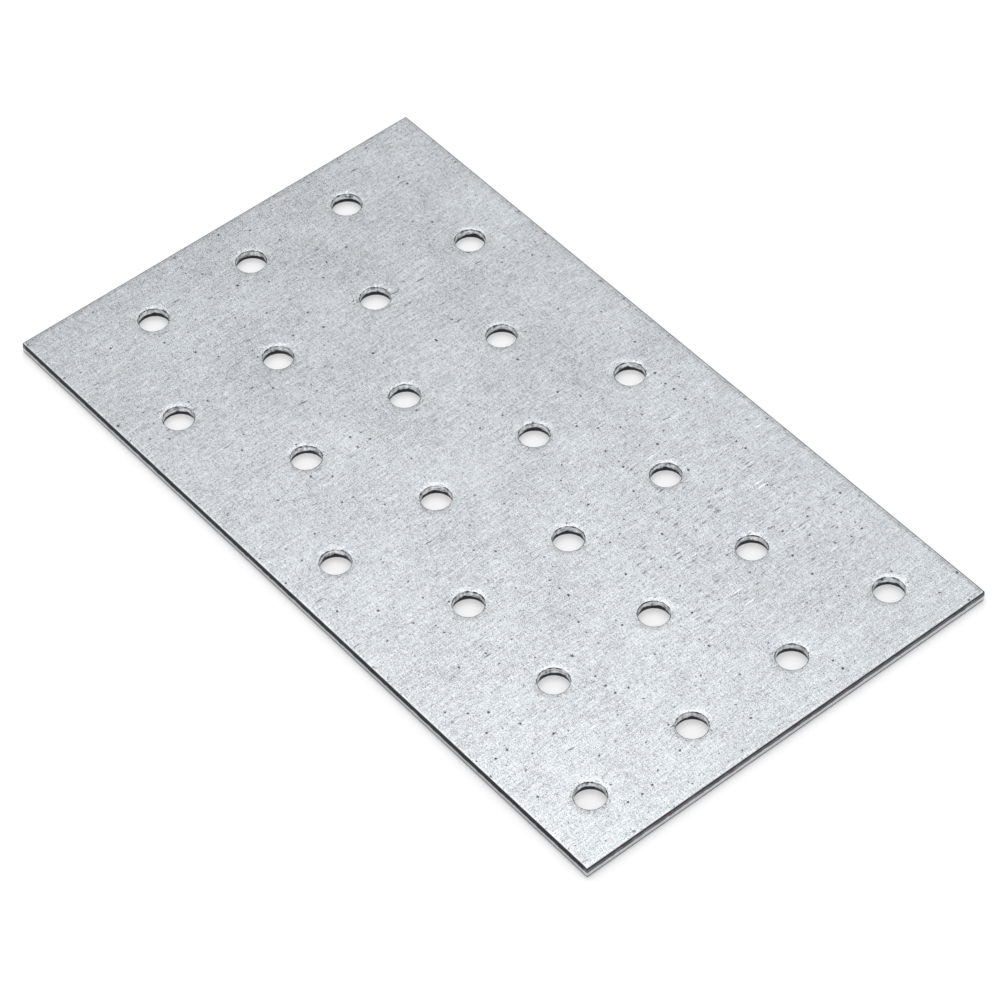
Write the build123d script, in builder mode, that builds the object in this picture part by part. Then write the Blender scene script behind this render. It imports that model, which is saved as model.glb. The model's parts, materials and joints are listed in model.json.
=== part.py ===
from build123d import *
import os

# Mending plate: one flat piece of zinc-coated steel sheet, sheared to size and punched with
# rows of round nail and screw holes.
# Frame: the origin is under the middle of the plate, +X runs across its width, +Y along its
# length and +Z is up through the sheet. The punch entered from above, so the rounded rim of
# every hole is on top and its torn, wider side is underneath.

# Sheet
plate_width = 80.0
plate_length = 140.0
sheet_thickness = 2.0

# Hole pattern: rows counted from the -Y end, each one centred on the same line
holes_in_row = (4, 3, 3, 4, 3, 4, 3)
hole_pitch = 20.0
row_pitch = 20.0
pattern_offset = -0.8

# Punched hole: rounded rim, straight wall, then a torn wall that flares to the die
hole_diameter = 5.0
rim_width = 0.45
rim_depth = 0.18
hole_die_gap = 0.22
hole_torn_height = 0.5 * sheet_thickness

# Sheared side: rounded edge, straight band, then a torn band that leans inwards
edge_roll_width = 0.40
edge_roll_depth = 0.25
shear_gap = 0.14
side_torn_height = 0.55 * sheet_thickness
corner_radius = 0.6

# Spare sheet outside the finished outline, taken off by the shear cuts
trim = 5.0

half_width = plate_width / 2
half_length = plate_length / 2
hole_radius = hole_diameter / 2
row_count = len(holes_in_row)


# One punched hole as the volume it removes, its axis on Z and the sheet's underside at Z = 0
with BuildPart() as punched_hole:
    with BuildSketch(Plane.XZ):
        with BuildLine():
            wall_foot = (hole_radius, hole_torn_height)
            wall_head = (hole_radius, sheet_thickness - rim_depth)
            rim_edge = (hole_radius + rim_width, sheet_thickness)
            Polyline(
                wall_head,
                wall_foot,
                (hole_radius + hole_die_gap, 0),
                (hole_radius + hole_die_gap, -trim),
                (0, -trim),
                (0, sheet_thickness + trim),
                (rim_edge[0], sheet_thickness + trim),
                rim_edge,
            )
            TangentArc(rim_edge, wall_head, tangent=(-1, 0))
        make_face()
    revolve(axis=Axis.Z)


# The finished plate
with BuildPart() as plate:
    with BuildSketch():
        Rectangle(plate_width + 2 * trim, plate_length + 2 * trim)
    extrude(amount=sheet_thickness)

    # Shear cuts: local X points out of the plate and local Y from the torn face to the rolled
    # face, so the +X and +Y sides are rolled on top and the -X and -Y sides underneath
    shear_planes = (
        Plane(origin=(half_width, 0, 0), x_dir=(1, 0, 0), z_dir=(0, -1, 0)),
        Plane(origin=(0, half_length, 0), x_dir=(0, 1, 0), z_dir=(1, 0, 0)),
        Plane(origin=(-half_width, 0, sheet_thickness), x_dir=(-1, 0, 0), z_dir=(0, -1, 0)),
        Plane(origin=(0, -half_length, sheet_thickness), x_dir=(0, -1, 0), z_dir=(1, 0, 0)),
    )
    with BuildSketch(*shear_planes):
        with BuildLine():
            band_foot = (0, side_torn_height)
            band_head = (0, sheet_thickness - edge_roll_depth)
            roll_edge = (-edge_roll_width, sheet_thickness)
            Polyline(
                band_head,
                band_foot,
                (-shear_gap, 0),
                (-shear_gap, -trim),
                (2 * trim, -trim),
                (2 * trim, sheet_thickness + trim),
                (-edge_roll_width, sheet_thickness + trim),
                roll_edge,
            )
            TangentArc(roll_edge, band_head, tangent=(1, 0))
        make_face()
    extrude(amount=half_length + half_width + 2 * trim, both=True, mode=Mode.SUBTRACT)

    # The two corners where a rolled side meets a torn one are dressed round
    with BuildSketch():
        with Locations((-half_width, half_length), (half_width, -half_length)):
            Rectangle(2 * corner_radius, 2 * corner_radius)
        round_x = half_width - corner_radius
        round_y = half_length - corner_radius
        with Locations((-round_x, round_y), (round_x, -round_y)):
            Circle(corner_radius, mode=Mode.SUBTRACT)
    extrude(amount=sheet_thickness, mode=Mode.SUBTRACT)

    # Punched holes, row by row from the -Y end
    for row, count in enumerate(holes_in_row):
        row_y = (row - (row_count - 1) / 2) * row_pitch
        with Locations((pattern_offset, row_y)):
            with GridLocations(hole_pitch, row_pitch, count, 1):
                add(punched_hole.part, mode=Mode.SUBTRACT)

plate.part.label = "plate"

os.makedirs("parts", exist_ok=True)
export_step(plate.part, "parts/plate.step")
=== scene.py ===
import json
import math

import bmesh
import bpy
from mathutils import Matrix, Vector, noise


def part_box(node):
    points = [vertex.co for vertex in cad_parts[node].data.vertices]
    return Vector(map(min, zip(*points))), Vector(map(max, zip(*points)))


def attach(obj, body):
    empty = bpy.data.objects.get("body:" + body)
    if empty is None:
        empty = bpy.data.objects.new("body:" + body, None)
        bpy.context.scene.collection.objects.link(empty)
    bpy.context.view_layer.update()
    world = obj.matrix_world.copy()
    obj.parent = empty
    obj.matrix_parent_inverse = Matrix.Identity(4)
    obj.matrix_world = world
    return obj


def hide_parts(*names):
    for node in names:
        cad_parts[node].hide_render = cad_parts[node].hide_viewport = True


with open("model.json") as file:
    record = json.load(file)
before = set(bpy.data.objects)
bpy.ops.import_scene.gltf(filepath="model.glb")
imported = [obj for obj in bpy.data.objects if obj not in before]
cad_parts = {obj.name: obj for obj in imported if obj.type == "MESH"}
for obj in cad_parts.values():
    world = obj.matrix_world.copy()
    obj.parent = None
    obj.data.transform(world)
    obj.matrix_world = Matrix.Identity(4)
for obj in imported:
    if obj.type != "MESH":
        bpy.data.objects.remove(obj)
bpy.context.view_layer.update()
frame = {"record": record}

MM = 0.001
QUARTER_TURN = math.pi / 2

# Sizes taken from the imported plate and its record
plate_low, plate_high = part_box("plate")
THICKNESS = plate_high.z - plate_low.z
HALF_WIDTH = (plate_high.x - plate_low.x) / 2
HALF_LENGTH = (plate_high.y - plate_low.y) / 2
BOLT_PATTERNS = [m for m in frame["record"]["mounts"] if m["kind"] == "bolt_pattern"]
HOLE_RADIUS = BOLT_PATTERNS[0]["dims"]["hole_r_mm"] * MM

# Punched hole
RIM_WIDTH = 0.18 * MM
RIM_DEPTH = 0.12 * MM
DISH_WIDTH = 1.15 * MM
DISH_DEPTH = 0.05 * MM
HOLE_DIE_GAP = 0.20 * MM
HOLE_TORN_HEIGHT = 0.45 * THICKNESS
HOLE_SEGMENTS = 96

# Unevenness of the hole's wall. Chips fade out between two shares of the thickness,
# above the torn wall and at its mouth.
HOLE_UNEVENNESS = 0.16 * MM
HOLE_SEED = 7.0
HOLE_CHIP_SCALE = 1900.0
HOLE_WANDER_SCALE = 330.0
HOLE_WANDER_SHARE = 0.6
HOLE_CHIPS_ABOVE = (0.56, 0.36)
HOLE_CHIPS_BELOW = (-0.05, 0.02)

# Punch: the ring on which each stretch of its side ends, from the bottom up, then how far
# it stands out of the sheet, how far it widens above, and how far below the sheet its
# torn wall starts
RING_BELOW, RING_TORN, RING_WALL, RING_RIM, RING_DISH, RING_TOP = 1, 7, 10, 17, 21, 22
PUNCH_SPARE = 1.0 * MM
PUNCH_FLARE = 0.5 * MM
PUNCH_TORN_START = 0.05 * MM

# Sheared side
EDGE_ROLL_WIDTH = 0.36 * MM
EDGE_ROLL_DEPTH = 0.28 * MM
EDGE_DROOP_WIDTH = 1.05 * MM
EDGE_DROOP_DEPTH = 0.05 * MM
SHEAR_GAP = 0.18 * MM
SIDE_TORN_SHARE = 0.42
SIDE_TORN_HEIGHT = SIDE_TORN_SHARE * THICKNESS
ROUND_CORNER = 0.42 * MM
SHARP_CORNER = 0.12 * MM
LEAST_CORNER = 0.02 * MM
SIDE_STEP = 0.4 * MM
TORN_STEPS, BAND_STEPS, ROLL_STEPS, DROOP_STEPS, CORNER_STEPS = 6, 3, 6, 4, 6

# How the torn face bends up to the torn wall, as millimetres in from the wall and up
TORN_LIP = ((0.55, 0.0), (0.30, 0.003), (0.12, 0.015), (0.04, 0.045))
TORN_LIP_HEIGHT = 0.10 * MM

# Unevenness of a sheared side: depths in millimetres, and waves to the millimetre
SLOW_WANDER, SLOW_WAVES = 0.02, 0.12
QUICK_WANDER, QUICK_WAVES = 0.012, 0.6
CHIP_DEPTH, CHIP_WAVES = 0.05, 1.9
FINE_CHIP_SHARE, FINE_CHIP_WAVES = 0.6, 4.3
TORN_SETBACK = 0.03

# Flat faces
FLAT_BORDER = 2.0 * MM
FLAT_CELLS_ACROSS, FLAT_CELLS_ALONG = 16, 28

# What counts as a cut wall
SHARP_ANGLE = math.radians(40)
FLAT_NORMAL = 0.985
HAIR = 1e-7
HOLE_MARGIN = 0.5 * MM
NOT_CUT = -1.0

# Finishes, as red, green and blue
ZINC = (0.402, 0.417, 0.432)
BARE_STEEL = (0.044, 0.042, 0.044)

# Zinc on the flat faces: where it is rubbed, where it is painted brighter, and where painted
# highlights run along its edges. In millimetres.
RUBBED_SPOT = (19, -34, 2)
RUBBED_REACH, RUBBED_CORE = 34, 6
LIT_SIDE_START, LIT_SIDE_FULL = 20, 38
EDGE_HIGHLIGHT_START, EDGE_HIGHLIGHT_FULL = 0.62, 0.42
HIGHLIGHT_LINE_INNER = (0.55, 0.45)
HIGHLIGHT_LINE_OUTER = (0.30, 0.36)

# Zinc and bare steel on the cut walls, as shares of the way up from the torn face
TORN_BLUR = 0.04
TORN_MOUTH = (0.012, 0.035)
# Where the painted shade on the turn into a rolled edge starts, and its blur
SHADE_SHOULDER_START, SHADE_SHOULDER_BLUR = 0.71, 0.07
# How the painted sheen on the ends' torn walls rises
END_SHEEN_RISE = (0.10, 0.26)

# The shaded foot of a side, by height, and how far in an end reaches. In millimetres.
LOW_BAND = (0.42, 0.22)
CUT_END = (1.2, 0.6)

# How light plain zinc is, the least it may be, and the depth of the marks in relief
PLAIN_SHADE = 1.01
LEAST_SHADE = 0.08
RELIEF_DEPTH = 0.012 * MM

# Studio
ROOM_TINT = (0.97, 0.985, 1.0)
ROOM_OVERHEAD = 1.09
ROOM_HORIZON = 0.75
ROOM_OVERHEAD_RISE = 0.9
FLOOR_PAINT = (0.985, 0.968, 0.966, 1)
FLOOR_WHITE = (1, 1, 1, 1)
FLOOR_GLOW = 0.35
FLOOR_REACH = 10.0
FLOOR_GAP = 0.02 * MM
LAMP_POWER = 2.75
LAMP_SIZE = 0.54
LAMP_PLACE = Vector((0.28, 0.39, 1.145))
CAMERA_TARGET = Vector((-3.63, -6.95, 2.0)) * MM
CAMERA_DISTANCE = 672.2 * MM
CAMERA_TURN = math.radians(-38.16)
CAMERA_RISE = math.radians(48.485)
CAMERA_LEAN = math.radians(2.352)
CAMERA_SENSOR = 36.0
CAMERA_LENS = 155.66


# ---------------------------------------------------------------- node trees


class Value:
    """A node's output socket; arithmetic on it adds the Math nodes."""

    def __init__(self, tree, socket):
        self.tree = tree
        self.socket = socket

    def math(self, operation, *others):
        inputs = dict(enumerate((self,) + others))
        return self.tree.node("ShaderNodeMath", {"operation": operation}, inputs)

    def __add__(self, other):
        return self.math("ADD", other)

    __radd__ = __add__

    def __mul__(self, other):
        return self.math("MULTIPLY", other)

    __rmul__ = __mul__

    def __sub__(self, other):
        return self.math("SUBTRACT", other)

    def __rsub__(self, other):
        return self.tree.node("ShaderNodeMath", {"operation": "SUBTRACT"}, {0: other, 1: self})

    def __truediv__(self, other):
        return self.math("DIVIDE", other)

    def ramp(self, start, end, low=0.0, high=1.0):
        """Runs smoothly from low to high as the value goes from start to end."""
        inputs = {"Value": self, "From Min": start, "From Max": end, "To Min": low, "To Max": high}
        return self.tree.node("ShaderNodeMapRange", {"interpolation_type": "SMOOTHSTEP"}, inputs)

    def line(self, start, end):
        """Runs straight from 0 to 1 as the value goes from start to end."""
        inputs = {"Value": self, "From Min": start, "From Max": end}
        return self.tree.node("ShaderNodeMapRange", {"clamp": True}, inputs)

    def sibling(self, output):
        """Another output of the same node."""
        return Value(self.tree, self.socket.node.outputs[output])


class Tree:
    """A node tree that is filled by one method, which gives the new node's output."""

    def __init__(self, node_tree):
        self.tree = node_tree

    def node(self, kind, settings=None, inputs=None, output=0):
        new = self.tree.nodes.new(kind)
        for name, setting in (settings or {}).items():
            setattr(new, name, setting)
        for key, given in (inputs or {}).items():
            socket = new.inputs[key]
            if isinstance(given, Value):
                self.tree.links.new(given.socket, socket)
            else:
                socket.default_value = given
        return Value(self, new.outputs[output]) if new.outputs else None


# ------------------------------------------------------------- sheared sheet


def arc(count, start=0.0, end=QUARTER_TURN):
    """Angles from start to end, in equal steps."""
    return [start + (end - start) * i / count for i in range(count + 1)]


def side_section():
    """A sheared side as (inset, height, torn) levels, from its torn face to its rolled face."""
    lip = [(SHEAR_GAP + inward * MM, up * MM) for inward, up in TORN_LIP]
    torn = [
        (
            SHEAR_GAP * (1 - i / TORN_STEPS),
            TORN_LIP_HEIGHT + (SIDE_TORN_HEIGHT - TORN_LIP_HEIGHT) * i / TORN_STEPS,
        )
        for i in range(TORN_STEPS + 1)
    ]
    band_top = THICKNESS - EDGE_ROLL_DEPTH - EDGE_DROOP_DEPTH
    band = [
        (0.0, SIDE_TORN_HEIGHT + (band_top - SIDE_TORN_HEIGHT) * i / BAND_STEPS)
        for i in range(1, BAND_STEPS)
    ]
    roll = [
        (EDGE_ROLL_WIDTH * (1 - math.cos(a)), band_top + EDGE_ROLL_DEPTH * math.sin(a))
        for a in arc(ROLL_STEPS)
    ]
    droop = [
        (
            EDGE_ROLL_WIDTH + (EDGE_DROOP_WIDTH - EDGE_ROLL_WIDTH) * i / DROOP_STEPS,
            THICKNESS - EDGE_DROOP_DEPTH * (1 - i / DROOP_STEPS) ** 2,
        )
        for i in range(1, DROOP_STEPS + 1)
    ]
    levels = [(inset, height, 0) for inset, height in lip]
    levels += [(inset, height, 1) for inset, height in torn]
    levels += [(inset, height, 0) for inset, height in band + roll + droop]
    return levels


# Each corner's side in X and Y, and its radius, in the order of the outline
CORNERS = (
    (1, -1, ROUND_CORNER),
    (1, 1, SHARP_CORNER),
    (-1, 1, ROUND_CORNER),
    (-1, -1, SHARP_CORNER),
)


def on_corner(corner, angle, inset):
    """A point on a plate corner's arc, on the outline drawn in by the inset."""
    sx, sy, radius = corner
    left = max(radius - inset, LEAST_CORNER)
    return Vector((
        sx * (HALF_WIDTH - inset - left) + left * math.cos(angle),
        sy * (HALF_LENGTH - inset - left) + left * math.sin(angle),
    ))


def round_the_plate():
    """Places round the outline: a function of the inset, and the way out, for each."""
    places = []
    for turn, corner in enumerate(CORNERS):
        start = (turn - 1) * QUARTER_TURN
        end = start + QUARTER_TURN
        for angle in arc(CORNER_STEPS, start, end):
            places.append((lambda inset, c=corner, a=angle: on_corner(c, a, inset), angle))
        following = CORNERS[(turn + 1) % 4]
        length = 2 * (HALF_WIDTH if turn % 2 else HALF_LENGTH)
        steps = int(length / SIDE_STEP)
        for i in range(1, steps):
            def on_side(inset, c=corner, d=following, a=end, share=i / steps):
                return on_corner(c, a, inset).lerp(on_corner(d, a, inset), share)
            places.append((on_side, end))
    return places


def unevenness(spot, torn):
    """How far a sheared wall sits in from its outline, by the spot on it in millimetres."""
    wander = SLOW_WANDER * noise.noise(spot * SLOW_WAVES)
    wander += QUICK_WANDER * noise.noise(spot * QUICK_WAVES)
    chips = noise.noise(spot * CHIP_WAVES)
    chips += FINE_CHIP_SHARE * noise.noise(spot * FINE_CHIP_WAVES)
    return (abs(wander) + torn * max(TORN_SETBACK + CHIP_DEPTH * chips, 0.0)) * MM


def sheared_sheet():
    """The sheet before punching. +X and +Y sides are rolled on top, -X and -Y underneath."""
    section = side_section()
    levels = len(section)
    mesh = bmesh.new()
    columns = []
    for place, angle in round_the_plate():
        out = Vector((math.cos(angle), math.sin(angle)))
        rolled_up = min(max(0.5 + out.x + out.y, 0.0), 1.0)
        column = []
        for level in range(levels):
            inset_up, height_up, torn_up = section[level]
            inset_down, height_down, torn_down = section[levels - 1 - level]
            inset = inset_down + (inset_up - inset_down) * rolled_up
            height = THICKNESS - height_down
            height += (height_up - height) * rolled_up
            torn = torn_up if rolled_up > 0.5 else torn_down
            x, y = place(inset)
            spot = Vector((x, y, plate_low.z + height)) / MM
            if 0 < level < levels - 1:
                inward = unevenness(spot, torn)
                x, y = x - out.x * inward, y - out.y * inward
            column.append(mesh.verts.new((x, y, plate_low.z + height)))
        columns.append(column)
    for column, following in zip(columns, columns[1:] + columns[:1]):
        for level in range(levels - 1):
            mesh.faces.new((
                column[level],
                following[level],
                following[level + 1],
                column[level + 1],
            ))
    fill_flat_face([column[-1] for column in columns], mesh)
    fill_flat_face([column[0] for column in columns], mesh)
    bmesh.ops.recalc_face_normals(mesh, faces=mesh.faces)
    data = bpy.data.meshes.new("sheared_sheet")
    mesh.to_mesh(data)
    mesh.free()
    sheet = bpy.data.objects.new("sheared_sheet", data)
    bpy.context.scene.collection.objects.link(sheet)
    return sheet


def fill_flat_face(rim, mesh):
    """Fills a flat face with square cells, and triangles out to its rim."""
    across, along = FLAT_CELLS_ACROSS, FLAT_CELLS_ALONG
    half_x, half_y = HALF_WIDTH - FLAT_BORDER, HALF_LENGTH - FLAT_BORDER
    rows = []
    for j in range(along + 1):
        y = half_y * (2 * j / along - 1)
        row = [
            mesh.verts.new((half_x * (2 * i / across - 1), y, rim[0].co.z))
            for i in range(across + 1)
        ]
        rows.append(row)
    for lower, upper in zip(rows, rows[1:]):
        for i in range(across):
            mesh.faces.new((lower[i], lower[i + 1], upper[i + 1], upper[i]))
    border = (
        rows[0]
        + [row[-1] for row in rows[1:]]
        + rows[-1][-2::-1]
        + [row[0] for row in reversed(rows[1:-1])]
    )
    edges = []
    for ring in (border, rim):
        for here, there in zip(ring, ring[1:] + ring[:1]):
            edges.append(mesh.edges.get((here, there)) or mesh.edges.new((here, there)))
    bmesh.ops.triangle_fill(mesh, use_beauty=True, edges=edges)


# ------------------------------------------------------------- punched holes


def hole_centres():
    """The middle of every hole, worked out from the record's bolt patterns."""
    centres = []
    for pattern in BOLT_PATTERNS:
        half_x = pattern["dims"].get("spacing_x_mm", 0) * MM / 2
        half_y = pattern["dims"].get("spacing_y_mm", 0) * MM / 2
        x, y, _ = pattern["pos_m"]
        for sx in (-1, 1) if half_x else (0,):
            for sy in (-1, 1) if half_y else (0,):
                centres.append((x + sx * half_x, y + sy * half_y))
    return centres


def punch_tree():
    """Geometry nodes: a punch at every point, cut out of the sheet."""
    group = bpy.data.node_groups.new("punch_holes", "GeometryNodeTree")
    face = group.interface
    face.new_socket("Geometry", in_out="OUTPUT", socket_type="NodeSocketGeometry")
    face.new_socket("Geometry", in_out="INPUT", socket_type="NodeSocketGeometry")
    face.new_socket("Sheet", in_out="INPUT", socket_type="NodeSocketObject")
    face.new_socket("Finish", in_out="INPUT", socket_type="NodeSocketMaterial")
    sizes = (
        "Hole Radius", "Thickness", "Underside", "Rim Width", "Rim Depth", "Dish Width",
        "Dish Depth", "Die Gap", "Torn Height", "Unevenness", "Seed",
    )
    for name in sizes:
        face.new_socket(name, in_out="INPUT", socket_type="NodeSocketFloat")
    tree = Tree(group)
    given = group.nodes.new("NodeGroupInput")
    size = {name: Value(tree, given.outputs[name]) for name in sizes}

    punch = tree.node(
        "GeometryNodeMeshCylinder",
        {"fill_type": "NGON"},
        {
            "Vertices": HOLE_SEGMENTS,
            "Side Segments": RING_TOP,
            "Radius": 1.0,
            "Depth": 1.0,
        },
    )
    place = tree.node("GeometryNodeInputPosition")
    parts = tree.node("ShaderNodeSeparateXYZ", None, {0: place})
    x, y, z = (parts.sibling(axis) for axis in range(3))

    # Rings up the punch: below the sheet, torn wall, straight wall, rim, dish, above the sheet.
    # The torn wall starts a hair below the sheet, so that no ring lies in its underside.
    level = (z + 0.5) * RING_TOP
    below = level.line(0, RING_BELOW)
    torn = level.line(RING_BELOW, RING_TORN)
    wall = level.line(RING_TORN, RING_WALL)
    rim = level.line(RING_WALL, RING_RIM) * QUARTER_TURN
    dish = level.line(RING_RIM, RING_DISH)
    above = level.line(RING_DISH, RING_TOP)
    radius = (
        size["Hole Radius"]
        + size["Die Gap"] * (1 - torn)
        + size["Rim Width"] * (1 - rim.math("COSINE"))
        + (size["Dish Width"] - size["Rim Width"]) * dish
        + PUNCH_FLARE * above
    )
    straight = size["Thickness"] - size["Rim Depth"] - size["Torn Height"] - size["Dish Depth"]
    height = (
        size["Underside"]
        - PUNCH_SPARE * (1 - below)
        - PUNCH_TORN_START * (1 - torn)
        + size["Torn Height"] * torn
        + straight * wall
        + size["Rim Depth"] * rim.math("SINE")
        + size["Dish Depth"] * (1 - (1 - dish) * (1 - dish))
        + PUNCH_SPARE * above
    )
    shaped = tree.node("ShaderNodeCombineXYZ", None, {0: x * radius, 1: y * radius, 2: height})
    punch = tree.node("GeometryNodeSetPosition", None, {"Geometry": punch, "Position": shaped})

    punches = tree.node(
        "GeometryNodeInstanceOnPoints",
        None,
        {"Points": Value(tree, given.outputs["Geometry"]), "Instance": punch},
    )
    punches = tree.node("GeometryNodeRealizeInstances", None, {"Geometry": punches})

    # The torn wall is chipped, and every wall wanders a little from round
    place = tree.node("GeometryNodeInputPosition")
    placed = tree.node("ShaderNodeSeparateXYZ", None, {0: place}, output=2)
    level = (placed - size["Underside"]) / size["Thickness"]
    torn_share = level.ramp(*HOLE_CHIPS_ABOVE) * level.ramp(*HOLE_CHIPS_BELOW)
    chips = tree.node(
        "ShaderNodeTexNoise",
        {"noise_dimensions": "4D"},
        {"Vector": place, "W": size["Seed"], "Scale": HOLE_CHIP_SCALE, "Detail": 3.0},
        output=1,
    )
    wander = tree.node(
        "ShaderNodeTexNoise",
        {"noise_dimensions": "4D"},
        {"Vector": place, "W": size["Seed"], "Scale": HOLE_WANDER_SCALE, "Detail": 1.0},
        output=1,
    )
    half = (0.5, 0.5, 0.0)
    chips, wander = (
        tree.node("ShaderNodeVectorMath", {"operation": "SUBTRACT"}, {0: field, 1: half})
        for field in (chips, wander)
    )
    chipped = tree.node(
        "ShaderNodeVectorMath",
        {"operation": "SCALE"},
        {0: chips, "Scale": size["Unevenness"] * torn_share},
    )
    wandered = tree.node(
        "ShaderNodeVectorMath",
        {"operation": "SCALE"},
        {0: wander, "Scale": size["Unevenness"] * HOLE_WANDER_SHARE},
    )
    moved = tree.node("ShaderNodeVectorMath", {"operation": "ADD"}, {0: chipped, 1: wandered})
    flat = tree.node("ShaderNodeVectorMath", {"operation": "MULTIPLY"}, {0: moved, 1: (1, 1, 0)})
    punches = tree.node("GeometryNodeSetPosition", None, {"Geometry": punches, "Offset": flat})

    sheet = tree.node(
        "GeometryNodeObjectInfo",
        {"transform_space": "ORIGINAL"},
        {"Object": Value(tree, given.outputs["Sheet"])},
        output="Geometry",
    )
    cut = tree.node(
        "GeometryNodeMeshBoolean",
        {"operation": "DIFFERENCE", "solver": "MANIFOLD"},
        {"Mesh 1": sheet, "Mesh 2": punches},
    )
    whole = tree.node("GeometryNodeRealizeInstances", None, {"Geometry": cut})
    finished = tree.node(
        "GeometryNodeSetMaterial",
        None,
        {"Geometry": whole, "Material": Value(tree, given.outputs["Finish"])},
    )
    tree.node("NodeGroupOutput", None, {0: finished})
    return group


def punched_plate(finish):
    """The sheared sheet with its holes punched, as one plain mesh."""
    sheet = sheared_sheet()
    centres = bpy.data.meshes.new("hole_centres")
    centres.from_pydata([(x, y, 0.0) for x, y in hole_centres()], [], [])
    work = bpy.data.objects.new("punching", centres)
    bpy.context.scene.collection.objects.link(work)
    group = punch_tree()
    punch = work.modifiers.new("punch", "NODES")
    punch.node_group = group
    values = {
        "Sheet": sheet,
        "Finish": finish,
        "Hole Radius": HOLE_RADIUS,
        "Thickness": THICKNESS,
        "Underside": plate_low.z,
        "Rim Width": RIM_WIDTH,
        "Rim Depth": RIM_DEPTH,
        "Dish Width": DISH_WIDTH,
        "Dish Depth": DISH_DEPTH,
        "Die Gap": HOLE_DIE_GAP,
        "Torn Height": HOLE_TORN_HEIGHT,
        "Unevenness": HOLE_UNEVENNESS,
        "Seed": HOLE_SEED,
    }
    for item in group.interface.items_tree:
        if item.in_out == "INPUT" and item.name in values:
            punch[item.identifier] = values[item.name]
    bpy.context.view_layer.update()
    evaluated = work.evaluated_get(bpy.context.evaluated_depsgraph_get())
    data = bpy.data.meshes.new_from_object(evaluated)
    data.name = "zinc_plate"
    plate = bpy.data.objects.new("zinc_plate", data)
    bpy.context.scene.collection.objects.link(plate)
    bpy.data.objects.remove(work)
    bpy.data.objects.remove(sheet)
    return plate


def mark_cut_walls(plate):
    """Smooths the cut walls, and stores on their corners how far up the cut each one is.

    cut_height runs from 0 at the torn face to 1 at the rolled one, and is NOT_CUT on the
    flat faces. in_hole is 1 in the holes, and 0 elsewhere."""
    data = plate.data
    data.set_sharp_from_angle(angle=SHARP_ANGLE)
    centres = [Vector(centre) for centre in hole_centres()]
    reach = HOLE_RADIUS + DISH_WIDTH + HOLE_MARGIN
    up = [vertex.co.z - plate_low.z for vertex in data.vertices]
    heights = [NOT_CUT] * len(data.loops)
    in_hole = [0.0] * len(data.loops)
    for face in data.polygons:
        levels = [up[vertex] for vertex in face.vertices]
        face.use_smooth = max(levels) > HAIR and min(levels) < THICKNESS - HAIR
        if abs(face.normal.z) > FLAT_NORMAL:
            continue
        middle = face.center
        near_hole = any((Vector(middle[:2]) - centre).length < reach for centre in centres)
        torn_below = near_hole or on_rolled_up_side(middle)
        for loop in face.loop_indices:
            z = up[data.loops[loop].vertex_index]
            heights[loop] = (z if torn_below else THICKNESS - z) / THICKNESS
            in_hole[loop] = 1.0 if near_hole else 0.0
    for name, values in (("cut_height", heights), ("in_hole", in_hole)):
        attribute = data.attributes.new(name, "FLOAT", "CORNER")
        attribute.data.foreach_set("value", values)


def on_rolled_up_side(place):
    """Whether the side nearest to a place is rolled on top, as +X and +Y are."""
    to_side = {
        (1, 0): HALF_WIDTH - place.x,
        (0, 1): HALF_LENGTH - place.y,
        (-1, 0): HALF_WIDTH + place.x,
        (0, -1): HALF_LENGTH + place.y,
    }
    return sum(min(to_side, key=to_side.get)) > 0


# ----------------------------------------------------------------- materials


def new_material(name):
    """An empty material, and the tree to fill it with."""
    material = bpy.data.materials.new(name)
    material.use_nodes = True
    material.node_tree.nodes.clear()
    return material, Tree(material.node_tree)


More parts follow.
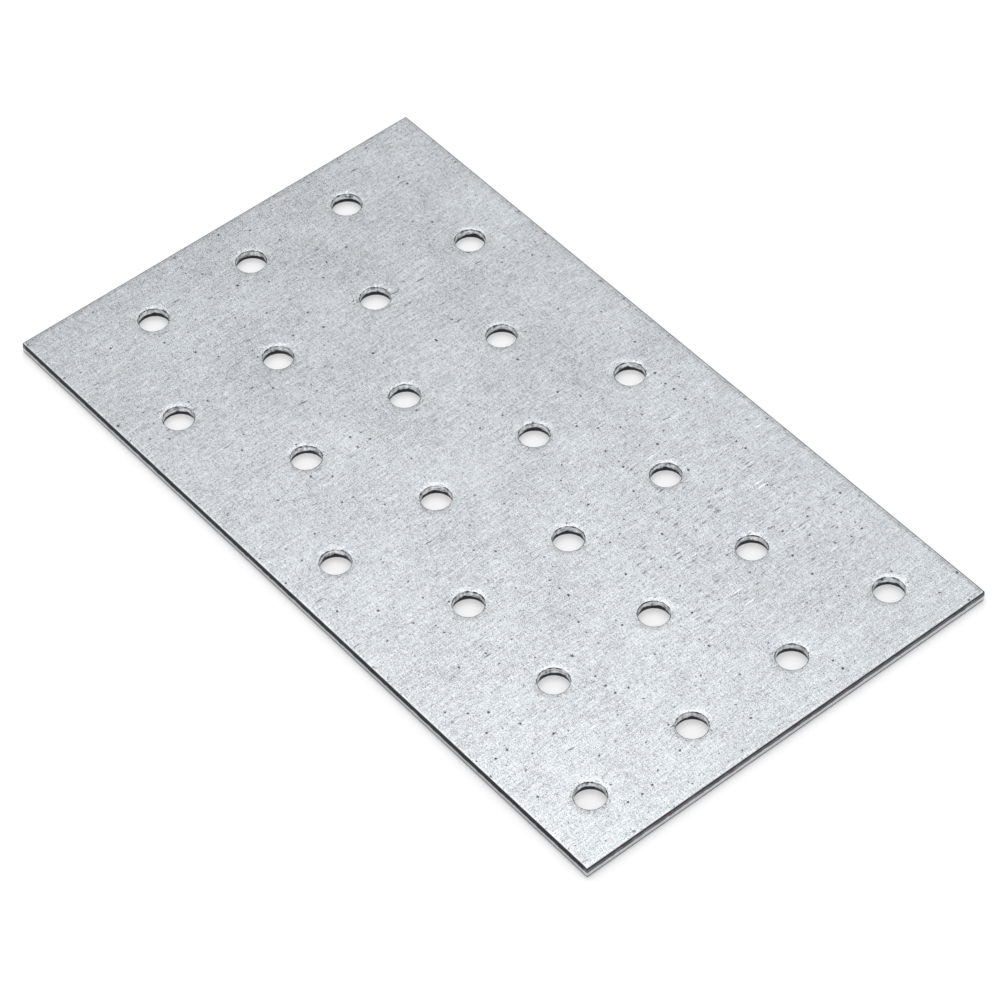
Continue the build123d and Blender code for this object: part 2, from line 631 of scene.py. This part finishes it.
def zinc_steel():
    """Zinc-coated sheet, with its rolling grain along X, dull and dark where it is torn, and with
    painted highlights and painted shade along its edges.
    """
    material, tree = new_material("zinc_steel")
    spot = tree.node("ShaderNodeTexCoord", None, None, output="Object")
    mm = tree.node("ShaderNodeVectorMath", {"operation": "SCALE"}, {0: spot, "Scale": 1 / MM})
    height = tree.node(
        "ShaderNodeAttribute", {"attribute_name": "cut_height"}, None, output="Fac"
    )
    in_hole = tree.node(
        "ShaderNodeAttribute", {"attribute_name": "in_hole"}, None, output="Fac"
    )
    across = tree.node("ShaderNodeSeparateXYZ", None, {0: mm})
    along, low = across.sibling(1), across.sibling(2)

    def placed(stretch=(1, 1, 1), shift=0.0, turn=0.0):
        """Millimetres, turned about Z by some degrees, then shifted and stretched."""
        turned = tree.node(
            "ShaderNodeVectorRotate",
            {"rotation_type": "Z_AXIS"},
            {"Vector": mm, "Angle": math.radians(turn)},
        )
        return tree.node(
            "ShaderNodeVectorMath",
            {"operation": "MULTIPLY_ADD"},
            {0: turned, 1: stretch, 2: (shift, shift * 1.7, shift * 0.6)},
        )

    def patches(scale, detail=2.0, stretch=(1, 1, 1), shift=0.0, roughness=0.5):
        """Noise about zero with spots about one over scale millimetres apart."""
        noisy = tree.node(
            "ShaderNodeTexNoise",
            None,
            {
                "Vector": placed(stretch, shift),
                "Scale": scale,
                "Detail": detail,
                "Roughness": roughness,
            },
        )
        return noisy - 0.5

    def marks(stretch, shift, size, share, turn=0.0):
        """Scattered dots, or short lines where stretched: 1 in their middle, 0 around."""
        reach = 1.8 * size
        fray = tree.node(
            "ShaderNodeTexNoise", None, {"Vector": mm, "Scale": 5.5, "Detail": 1.5}, output=1
        )
        uneven = tree.node(
            "ShaderNodeVectorMath",
            {"operation": "MULTIPLY_ADD"},
            {0: fray, 1: (reach, reach, 0), 2: placed(stretch, shift, turn)},
        )
        cells = tree.node(
            "ShaderNodeTexVoronoi",
            {"voronoi_dimensions": "2D", "feature": "F1"},
            {"Vector": uneven, "Scale": 1.0, "Randomness": 1.0},
        )
        luck = tree.node("ShaderNodeSeparateXYZ", None, {0: cells.sibling("Color")})
        breadth = 0.45 + 0.95 * luck.sibling(1)
        kept = luck.line(1 - share, 1 - share * 0.35)
        return kept * (cells / breadth).ramp(size, size * 0.4)

    # Rolled grain, lines along it and across it, and broad clouds
    grain = patches(scale=7.4, detail=1.2, roughness=0.7)
    rolling = patches(scale=6.8, detail=1.0, stretch=(0.30, 1, 1), shift=3.1, roughness=0.6)
    lines = patches(scale=5.6, detail=1.0, stretch=(0.08, 1, 1), shift=6.4)
    cross = patches(scale=6.0, detail=1.0, stretch=(1, 0.16, 1), shift=8.7, roughness=0.6)
    clouds = patches(scale=0.10, detail=4.0, shift=5.3, roughness=0.55)

    # Wear, which is thickest about one rubbed spot
    pits = marks(stretch=(0.42, 0.42, 1), shift=2.3, size=0.092, share=0.45)
    specks = marks(stretch=(1, 1, 1), shift=6.1, size=0.12, share=0.70)
    scuffs = marks(stretch=(0.12, 1, 1), shift=4.4, size=0.12, share=0.25)
    scratches = marks(stretch=(1.1, 0.07, 1), shift=9.2, size=0.07, share=0.07, turn=8.0)
    away = tree.node(
        "ShaderNodeVectorMath", {"operation": "DISTANCE"}, {0: mm, 1: RUBBED_SPOT}, output=1
    )
    rubbed = away.ramp(RUBBED_REACH, RUBBED_CORE)
    nicks = marks(stretch=(0.20, 1, 1), shift=5.2, size=0.16, share=0.06, turn=6.0)
    dents = marks(stretch=(0.30, 1.1, 1), shift=11.3, size=0.18, share=0.45, turn=-4.0)
    nicks = nicks + rubbed * dents

    # Painted light: the zinc is painted brighter towards one long side, with painted highlights
    # beside the torn sides and a fine painted highlight line along the rolled long side
    half_width, half_length = HALF_WIDTH / MM, HALF_LENGTH / MM
    torn_side_highlight = across.ramp(EDGE_HIGHLIGHT_START - half_width, EDGE_HIGHLIGHT_FULL - half_width)
    torn_end_highlight = along.ramp(EDGE_HIGHLIGHT_START - half_length, EDGE_HIGHLIGHT_FULL - half_length)
    rolled_highlight_line = across.ramp(*(half_width - inset for inset in HIGHLIGHT_LINE_INNER))
    rolled_highlight_line = rolled_highlight_line * across.ramp(*(half_width - inset for inset in HIGHLIGHT_LINE_OUTER))
    painted_light = 0.07 * across.ramp(LIT_SIDE_START, LIT_SIDE_FULL) + 0.24 * torn_side_highlight + 0.12 * torn_end_highlight

    # The cut walls: torn and dull low down, drawn smooth above
    on_wall = height.ramp(-0.02, 0.0)
    ragged = patches(scale=0.8, detail=3.0, stretch=(1, 1, 0.3), shift=1.2)
    ragged = (0.15 + 0.45 * in_hole) * ragged
    edge = SIDE_TORN_SHARE + 0.05 * in_hole
    torn = on_wall * (height + ragged).ramp(edge + TORN_BLUR, edge - TORN_BLUR)
    torn = torn * height.ramp(*TORN_MOUTH)
    drawn = on_wall * (1 - torn)
    streaks = patches(scale=2.4, detail=3.0, stretch=(1, 1, 0.25), shift=7.7, roughness=0.65)
    smears = patches(scale=1.1, detail=3.0, stretch=(0.8, 0.8, 2.4), shift=2.9, roughness=0.65)
    # Painted shadow along the foot of each side, low down by the floor
    painted_foot_shadow = drawn * (1 - in_hole) * low.ramp(*LOW_BAND)
    # Painted shade on the turn into a rolled edge, at the hole rims and along the sides
    start = SHADE_SHOULDER_START + 0.15 * in_hole
    shoulder_shade = drawn * height.ramp(start, start + SHADE_SHOULDER_BLUR)

    # The walls of the two ends are painted lighter than the long sides, with a blotchy painted
    # sheen on their torn steel, and take more painted shade on their rolled turn
    end = along.math("ABSOLUTE").ramp(*(half_length - inset for inset in CUT_END))
    cut_end = (1 - in_hole) * end
    blotches = patches(scale=0.5, shift=4.1)
    painted_end_sheen = cut_end * height.ramp(*END_SHEEN_RISE) * (2.6 + 7.0 * blotches)

    # How light the zinc is: rolled grain on the flat faces, then the drawn walls with their
    # streaks, the painted shade on the turn into a rolled edge, the painted shadow at the foot of
    # a side and the fine painted highlight line
    flat = 1 - on_wall
    rolled = 2.85 * grain - 2.0 * grain * grain + 0.3 * rolling + 0.75 * lines
    rolled = rolled + 0.65 * cross + 0.4 * clouds + painted_light
    shade = (
        PLAIN_SHADE
        + flat * rolled
        + drawn * (0.12 + 0.28 * in_hole + 0.25 * cut_end + 0.5 * streaks)
        + drawn * in_hole * (2.5 * streaks + 4.8 * smears)
        - (0.85 + 0.25 * cut_end) * shoulder_shade
        - 0.35 * painted_foot_shadow
        + (0.20 + 0.70 * shoulder_shade) * rolled_highlight_line
    )
    shade = shade * (1 - flat * (0.85 * pits + 0.65 * specks + 0.6 * nicks))
    shade = shade + flat * ((0.25 + 0.5 * rubbed) * scuffs + 0.25 * scratches)
    shade = shade.math("MAXIMUM", LEAST_SHADE)
    steel = tree.node(
        "ShaderNodeVectorMath",
        {"operation": "SCALE"},
        {0: ZINC, "Scale": shade},
    )
    bare = tree.node(
        "ShaderNodeVectorMath",
        {"operation": "SCALE"},
        {0: BARE_STEEL, "Scale": 1 + 1.8 * grain + 1.0 * streaks + painted_end_sheen},
    )
    # Inputs 6 and 7 and output 2 are the Mix node's colours
    colour = tree.node(
        "ShaderNodeMix",
        {"data_type": "RGBA"},
        {"Factor": torn, 6: steel, 7: bare},
        output=2,
    )
    roughness = 0.38 + 0.10 * clouds + 0.20 * grain + 0.2 * torn - 0.06 * drawn
    relief = (
        flat * (0.5 * grain + 0.4 * rolling + 0.3 * cross - 1.5 * pits - 0.6 * scuffs)
        + 2.0 * grain * torn
        + 1.2 * (streaks + smears) * drawn * in_hole
    )
    bump = tree.node(
        "ShaderNodeBump",
        None,
        {"Strength": 1.0, "Distance": RELIEF_DEPTH, "Height": relief},
    )
    surface = tree.node(
        "ShaderNodeBsdfPrincipled",
        None,
        {"Base Color": colour, "Metallic": 1.0, "Roughness": roughness, "Normal": bump},
    )
    tree.node("ShaderNodeOutputMaterial", None, {"Surface": surface})
    return material


def seen_direct(tree):
    """1 for what the camera sees straight on, in metal or through glass, else 0."""
    rays = tree.node("ShaderNodeLightPath", None, None, output="Is Camera Ray")
    glossy, through = rays.sibling("Is Glossy Ray"), rays.sibling("Is Transmission Ray")
    return rays.math("MAXIMUM", glossy).math("MAXIMUM", through)


def pale_floor_paint():
    """Matt white, with a share of plain white where it is seen, so that its shadows are pale."""
    material, tree = new_material("pale_floor")
    matt = tree.node("ShaderNodeBsdfDiffuse", None, {"Color": FLOOR_PAINT})
    white = tree.node("ShaderNodeEmission", None, {"Color": FLOOR_WHITE, "Strength": 1.0})
    surface = tree.node(
        "ShaderNodeMixShader", None, {0: FLOOR_GLOW * seen_direct(tree), 1: matt, 2: white}
    )
    tree.node("ShaderNodeOutputMaterial", None, {"Surface": surface})
    return material


# -------------------------------------------------------------------- studio


def floor():
    """A wide floor just under the plate."""
    reach = FLOOR_REACH
    mesh = bpy.data.meshes.new("floor")
    z = plate_low.z - FLOOR_GAP
    corners = [(-reach, -reach, z), (reach, -reach, z), (reach, reach, z), (-reach, reach, z)]
    mesh.from_pydata(corners, [], [(0, 1, 2, 3)])
    mesh.materials.append(pale_floor_paint())
    made = bpy.data.objects.new("floor", mesh)
    bpy.context.scene.collection.objects.link(made)


def pale_room():
    """Soft light from all round, brightest overhead."""
    world = bpy.data.worlds.new("pale_room")
    world.use_nodes = True
    world.node_tree.nodes.clear()
    tree = Tree(world.node_tree)
    way = tree.node("ShaderNodeTexCoord", None, None, output="Generated")
    rise = tree.node("ShaderNodeSeparateXYZ", None, {0: way}, output=2)
    level = rise.ramp(0.0, ROOM_OVERHEAD_RISE, ROOM_HORIZON, ROOM_OVERHEAD)
    glow = tree.node(
        "ShaderNodeVectorMath", {"operation": "SCALE"}, {0: ROOM_TINT, "Scale": level}
    )
    light = tree.node("ShaderNodeBackground", None, {"Color": glow, "Strength": 1.0})
    tree.node("ShaderNodeOutputWorld", None, {"Surface": light})
    bpy.context.scene.world = world


def look_at(thing, place, target, lean=0.0):
    """Puts a lamp or the camera at a place, aimed at a target, leaning to its right."""
    turn = (place - target).to_track_quat("Z", "Y").to_matrix().to_4x4()
    thing.matrix_world = (
        Matrix.Translation(place) @ turn @ Matrix.Rotation(-lean, 4, "Z")
    )


def soft_lamp():
    """A round soft box above the far end."""
    lamp = bpy.data.lights.new("soft_lamp", "AREA")
    lamp.shape = "DISK"
    lamp.size = LAMP_SIZE
    lamp.energy = LAMP_POWER
    made = bpy.data.objects.new("soft_lamp", lamp)
    bpy.context.scene.collection.objects.link(made)
    look_at(made, LAMP_PLACE, Vector((0, 0, 0)))


def camera():
    """A long lens that looks down on the plate from beyond its -X and -Y sides."""
    data = bpy.data.cameras.new("camera")
    data.sensor_width = CAMERA_SENSOR
    data.lens = CAMERA_LENS
    made = bpy.data.objects.new("camera", data)
    bpy.context.scene.collection.objects.link(made)
    turn, rise = CAMERA_TURN, CAMERA_RISE
    away = Vector((
        math.sin(turn) * math.cos(rise),
        -math.cos(turn) * math.cos(rise),
        math.sin(rise),
    ))
    look_at(made, CAMERA_TARGET + CAMERA_DISTANCE * away, CAMERA_TARGET, CAMERA_LEAN)
    bpy.context.scene.camera = made


# ---------------------------------------------------------------- the object

finish = zinc_steel()
plate = punched_plate(finish)
mark_cut_walls(plate)
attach(plate, "root")
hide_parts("plate")

floor()
pale_room()
soft_lamp()
camera()
bpy.context.scene.view_settings.view_transform = "Standard"
